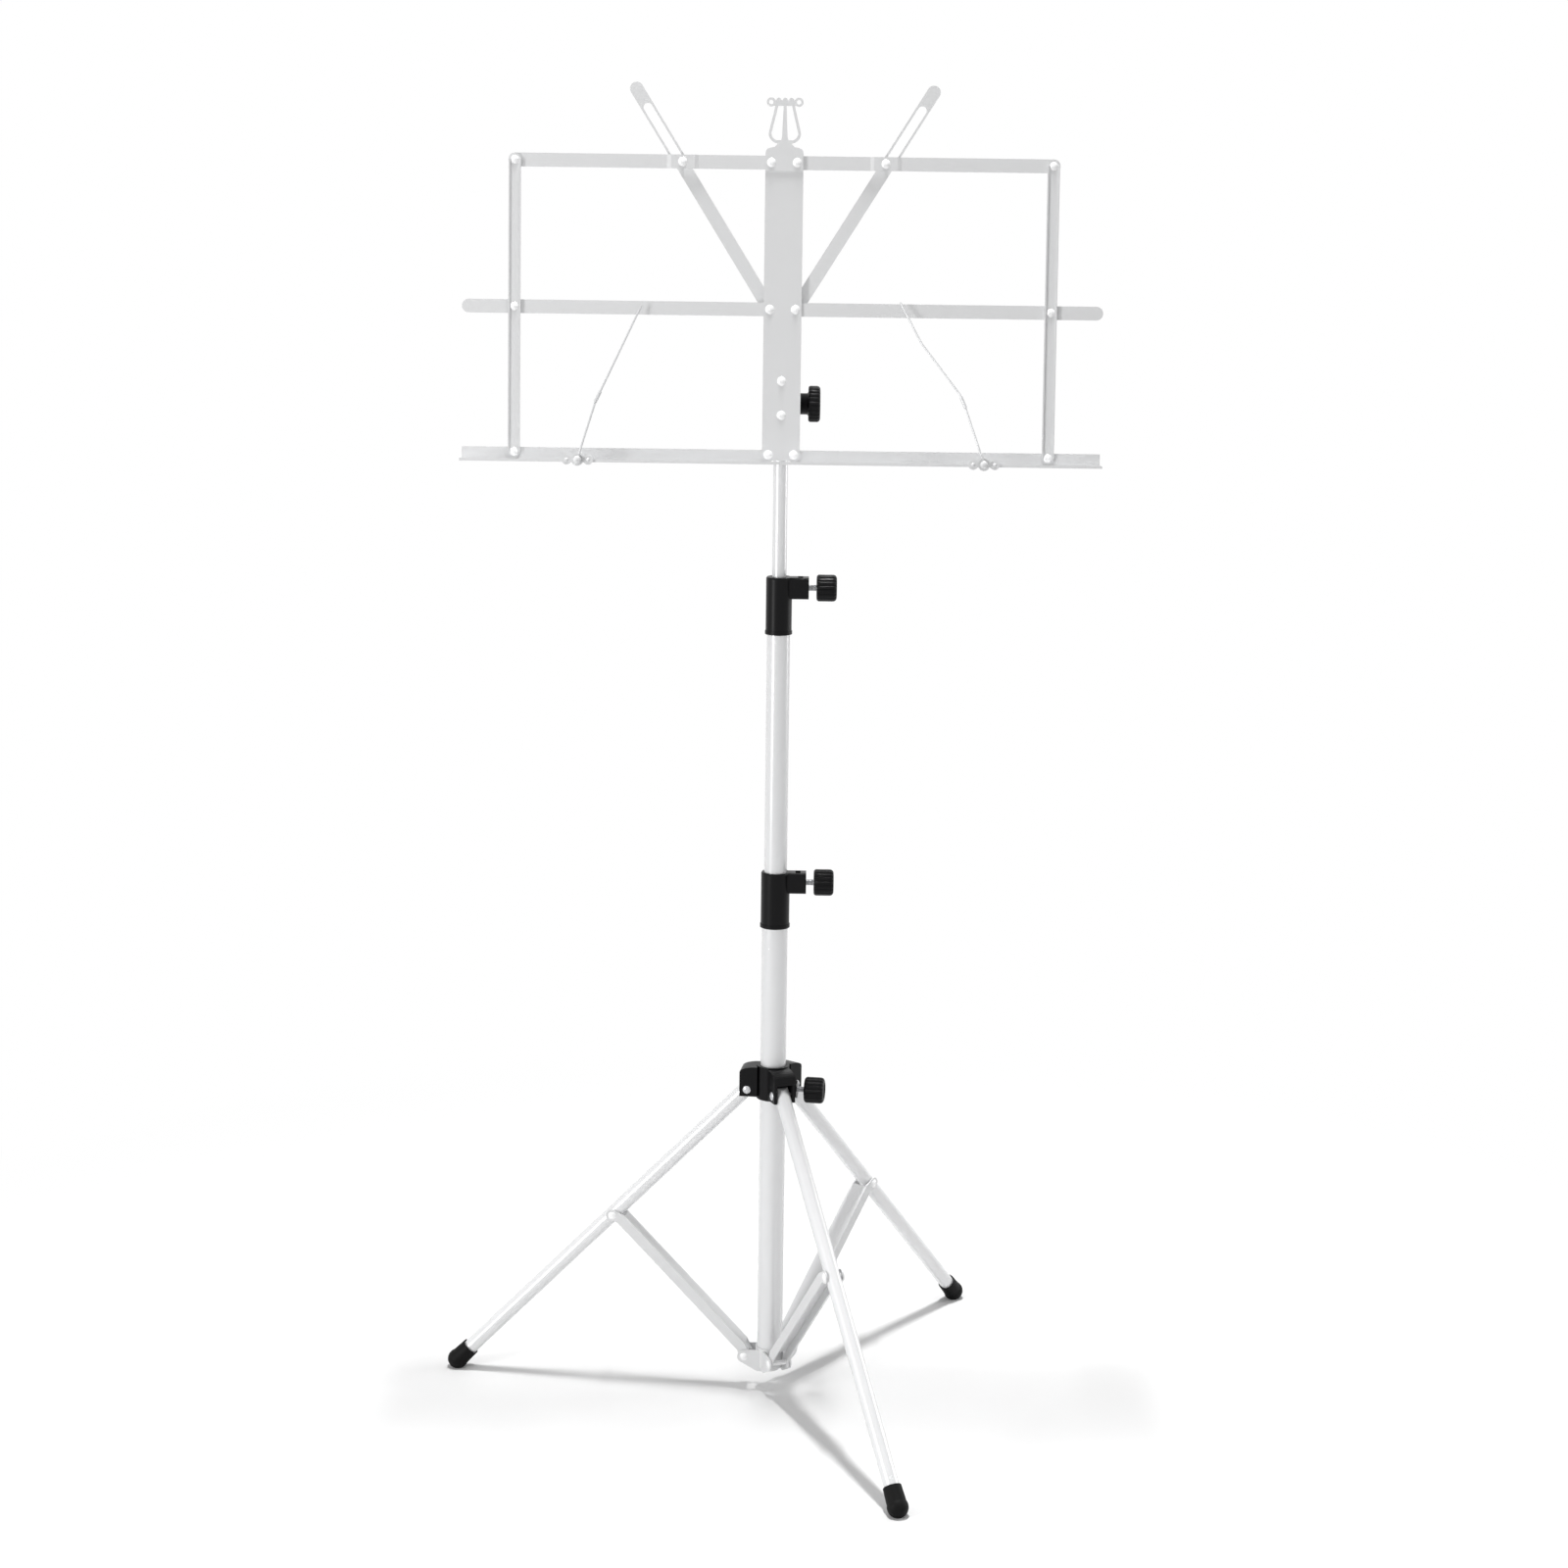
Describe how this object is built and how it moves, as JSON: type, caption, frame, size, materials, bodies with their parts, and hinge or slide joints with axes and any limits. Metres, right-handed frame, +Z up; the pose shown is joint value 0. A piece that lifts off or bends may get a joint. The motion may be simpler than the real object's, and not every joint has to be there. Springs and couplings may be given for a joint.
{
  "type": "music stand",
  "caption": "Folding sheet-music stand: a pale metal desk with hinged wings, a lyre finial and page wires on a telescoping mast and a folding tripod.",
  "frame": {"origin": "on the mast axis at floor level", "axes": "+Z up, -Y towards the reader in front of the desk, +X to the reader's right"},
  "size_m": [0.5132, 0.4667, 1.0515],
  "materials": {
    "bright_tube": "glossy",
    "desk_metal": "satin",
    "steel": "satin",
    "black": "matt",
    "rubber": "matt"
  },
  "bodies": {
    "column": {"outer_tube": "bright_tube", "base_bracket": "desk_metal", "strut_rivets": "steel", "lower_clamp": "black", "lower_nut": "steel"},
    "lower_knob": {"lower_knob": "black", "lower_stud": "steel"},
    "hub": {"tripod_hub": "black", "hub_rivets": "steel"},
    "hub_knob": {"hub_knob": "black", "hub_stud": "steel"},
    "middle_bush": {"middle_bush": "black"},
    "middle_mast": {"middle_tube": "bright_tube", "upper_clamp": "black", "upper_nut": "steel"},
    "upper_knob": {"upper_knob": "black", "upper_stud": "steel"},
    "rod_bush": {"rod_bush": "black"},
    "upper_mast": {"mast_rod": "bright_tube", "tilt_head": "steel"},
    "desk": {"spine": "desk_metal", "lyre_finial": "desk_metal", "tilt_bracket": "desk_metal", "centre_rivets": "steel", "spine_rivets": "steel", "tilt_bolt": "steel"},
    "tilt_knob": {"tilt_knob": "black"},
    "front_strut": {"front_strut": "desk_metal"},
    "front_leg": {"front_leg": "bright_tube", "front_foot": "rubber", "front_leg_rivet": "steel"},
    "left_strut": {"left_strut": "desk_metal"},
    "left_leg": {"left_leg": "bright_tube", "left_foot": "rubber", "left_leg_rivet": "steel"},
    "rear_strut": {"rear_strut": "desk_metal"},
    "rear_leg": {"rear_leg": "bright_tube", "rear_foot": "rubber", "rear_leg_rivet": "steel"},
    "right_mid_wing": {"right_mid_bar": "desk_metal", "right_mid_rivet": "steel"},
    "right_top_wing": {"right_top_bar": "desk_metal", "right_top_rivets": "steel"},
    "right_shelf": {"right_ledge": "desk_metal", "right_ledge_rivet": "steel", "right_clip_saddle": "desk_metal"},
    "right_side": {"right_side_bar": "desk_metal"},
    "right_arm": {"right_arm": "desk_metal"},
    "right_clip": {"right_page_wire": "steel"},
    "left_mid_wing": {"left_mid_bar": "desk_metal", "left_mid_rivet": "steel"},
    "left_top_wing": {"left_top_bar": "desk_metal", "left_top_rivets": "steel"},
    "left_shelf": {"left_ledge": "desk_metal", "left_ledge_rivet": "steel", "left_clip_saddle": "desk_metal"},
    "left_side": {"left_side_bar": "desk_metal"},
    "left_arm": {"left_arm": "desk_metal"},
    "left_clip": {"left_page_wire": "steel"}
  },
  "joints": [
    {"name": "front_strut_fold", "type": "hinge", "parent": "column", "child": "front_strut", "pos_m": [0.00749, -0.01854, 0.02925], "axis": [-0.9272, -0.3746, 0], "range_deg": [0, 41]},
    {"name": "front_leg_fold", "type": "hinge", "parent": "front_strut", "child": "front_leg", "pos_m": [0.04887, -0.12095, 0.14363], "axis": [-0.9272, -0.3746, 0], "range_deg": [-82, 0]},
    {"name": "left_strut_fold", "type": "hinge", "parent": "column", "child": "left_strut", "pos_m": [-0.0198, 0.00278, 0.02925], "axis": [0.1392, 0.9903, 0], "range_deg": [0, 41]},
    {"name": "left_leg_fold", "type": "hinge", "parent": "left_strut", "child": "left_leg", "pos_m": [-0.12918, 0.01816, 0.14363], "axis": [0.1392, 0.9903, 0], "range_deg": [-82, 0]},
    {"name": "rear_strut_fold", "type": "hinge", "parent": "column", "child": "rear_strut", "pos_m": [0.01231, 0.01576, 0.02925], "axis": [0.788, -0.6157, 0], "range_deg": [0, 41]},
    {"name": "rear_leg_fold", "type": "hinge", "parent": "rear_strut", "child": "rear_leg", "pos_m": [0.08031, 0.1028, 0.14363], "axis": [0.788, -0.6157, 0], "range_deg": [-82, 0]},
    {"name": "hub_on_leg", "type": "hinge", "parent": "front_leg", "child": "hub", "pos_m": [0.00749, -0.01854, 0.258], "axis": [-0.9272, -0.3746, 0], "range_deg": [0, 41]},
    {"name": "hub_screw", "type": "hinge", "parent": "hub", "child": "hub_knob", "pos_m": [0.02575, -0.00362, 0.258], "axis": [0.9903, -0.1392, 0], "range_deg": [0, 360]},
    {"name": "lower_screw", "type": "hinge", "parent": "column", "child": "lower_knob", "pos_m": [0.03, 0, 0.4295], "axis": [1, 0, 0], "range_deg": [0, 360]},
    {"name": "upper_screw", "type": "hinge", "parent": "middle_mast", "child": "upper_knob", "pos_m": [0.03, 0, 0.6665], "axis": [1, 0, 0], "range_deg": [0, 360]},
    {"name": "middle_slide", "type": "slide", "parent": "column", "child": "middle_bush", "axis": [0, 0, 1], "range_m": [-0.185, 0.07]},
    {"name": "middle_turn", "type": "hinge", "parent": "middle_bush", "child": "middle_mast", "pos_m": [0, 0, 0.4], "axis": [0, 0, 1], "continuous": true},
    {"name": "rod_slide", "type": "slide", "parent": "middle_mast", "child": "rod_bush", "axis": [0, 0, 1], "range_m": [-0.075, 0.06]},
    {"name": "rod_turn", "type": "hinge", "parent": "rod_bush", "child": "upper_mast", "pos_m": [0, 0, 0.6], "axis": [0, 0, 1], "continuous": true},
    {"name": "desk_tilt", "type": "hinge", "parent": "upper_mast", "child": "desk", "pos_m": [0, 0, 0.81], "axis": [-1, 0, 0], "range_deg": [-6, 74]},
    {"name": "tilt_screw", "type": "hinge", "parent": "desk", "child": "tilt_knob", "pos_m": [0.02, 0, 0.81], "axis": [1, 0, 0], "range_deg": [0, 360]},
    {"name": "right_wing_fold", "type": "hinge", "parent": "desk", "child": "right_mid_wing", "pos_m": [0.0098, -0.01194, 0.88295], "axis": [0, -0.9945, 0.1045], "range_deg": [0, 82]},
    {"name": "right_top_fold", "type": "hinge", "parent": "desk", "child": "right_top_wing", "pos_m": [0.0098, -0.00039, 0.99284], "axis": [0, -0.9945, 0.1045], "range_deg": [0, 82]},
    {"name": "right_shelf_fold", "type": "hinge", "parent": "desk", "child": "right_shelf", "pos_m": [0.0098, -0.02349, 0.77305], "axis": [0, -0.9945, 0.1045], "range_deg": [0, 82]},
    {"name": "right_side_fold", "type": "hinge", "parent": "right_mid_wing", "child": "right_side", "pos_m": [0.2048, -0.01194, 0.88295], "axis": [0, -0.9945, 0.1045], "range_deg": [-82, 0]},
    {"name": "right_arm_fold", "type": "hinge", "parent": "desk", "child": "right_arm", "pos_m": [0.0098, -0.00597, 0.88232], "axis": [0, -0.9945, 0.1045], "range_deg": [0, 29]},
    {"name": "right_clip_swing", "type": "hinge", "parent": "right_shelf", "child": "right_clip", "pos_m": [0.1548, -0.04592, 0.77008], "axis": [0, -0.9945, 0.1045], "range_deg": [-60, 60]},
    {"name": "left_wing_fold", "type": "hinge", "parent": "desk", "child": "left_mid_wing", "pos_m": [-0.0098, -0.01194, 0.88295], "axis": [0, 0.9945, -0.1045], "range_deg": [0, 82]},
    {"name": "left_top_fold", "type": "hinge", "parent": "desk", "child": "left_top_wing", "pos_m": [-0.0098, -0.00039, 0.99284], "axis": [0, 0.9945, -0.1045], "range_deg": [0, 82]},
    {"name": "left_shelf_fold", "type": "hinge", "parent": "desk", "child": "left_shelf", "pos_m": [-0.0098, -0.02349, 0.77305], "axis": [0, 0.9945, -0.1045], "range_deg": [0, 82]},
    {"name": "left_side_fold", "type": "hinge", "parent": "left_mid_wing", "child": "left_side", "pos_m": [-0.2048, -0.01194, 0.88295], "axis": [0, 0.9945, -0.1045], "range_deg": [-82, 0]},
    {"name": "left_arm_fold", "type": "hinge", "parent": "desk", "child": "left_arm", "pos_m": [-0.0098, -0.00597, 0.88232], "axis": [0, 0.9945, -0.1045], "range_deg": [0, 29]},
    {"name": "left_clip_swing", "type": "hinge", "parent": "left_shelf", "child": "left_clip", "pos_m": [-0.1548, -0.04592, 0.77008], "axis": [0, 0.9945, -0.1045], "range_deg": [-60, 60]}
  ],
  "couplings": [
    {"joint": "front_leg_fold", "follows": "front_strut_fold", "ratio": -2},
    {"joint": "left_strut_fold", "follows": "front_strut_fold", "ratio": 1},
    {"joint": "left_leg_fold", "follows": "front_strut_fold", "ratio": -2},
    {"joint": "rear_strut_fold", "follows": "front_strut_fold", "ratio": 1},
    {"joint": "rear_leg_fold", "follows": "front_strut_fold", "ratio": -2},
    {"joint": "hub_on_leg", "follows": "front_strut_fold", "ratio": 1},
    {"joint": "right_top_fold", "follows": "right_wing_fold", "ratio": 1},
    {"joint": "right_shelf_fold", "follows": "right_wing_fold", "ratio": 1},
    {"joint": "right_side_fold", "follows": "right_wing_fold", "ratio": -1},
    {"joint": "right_arm_fold", "follows": "right_wing_fold", "ratio": 0.348},
    {"joint": "left_top_fold", "follows": "left_wing_fold", "ratio": 1},
    {"joint": "left_shelf_fold", "follows": "left_wing_fold", "ratio": 1},
    {"joint": "left_side_fold", "follows": "left_wing_fold", "ratio": -1},
    {"joint": "left_arm_fold", "follows": "left_wing_fold", "ratio": 0.348}
  ]
}
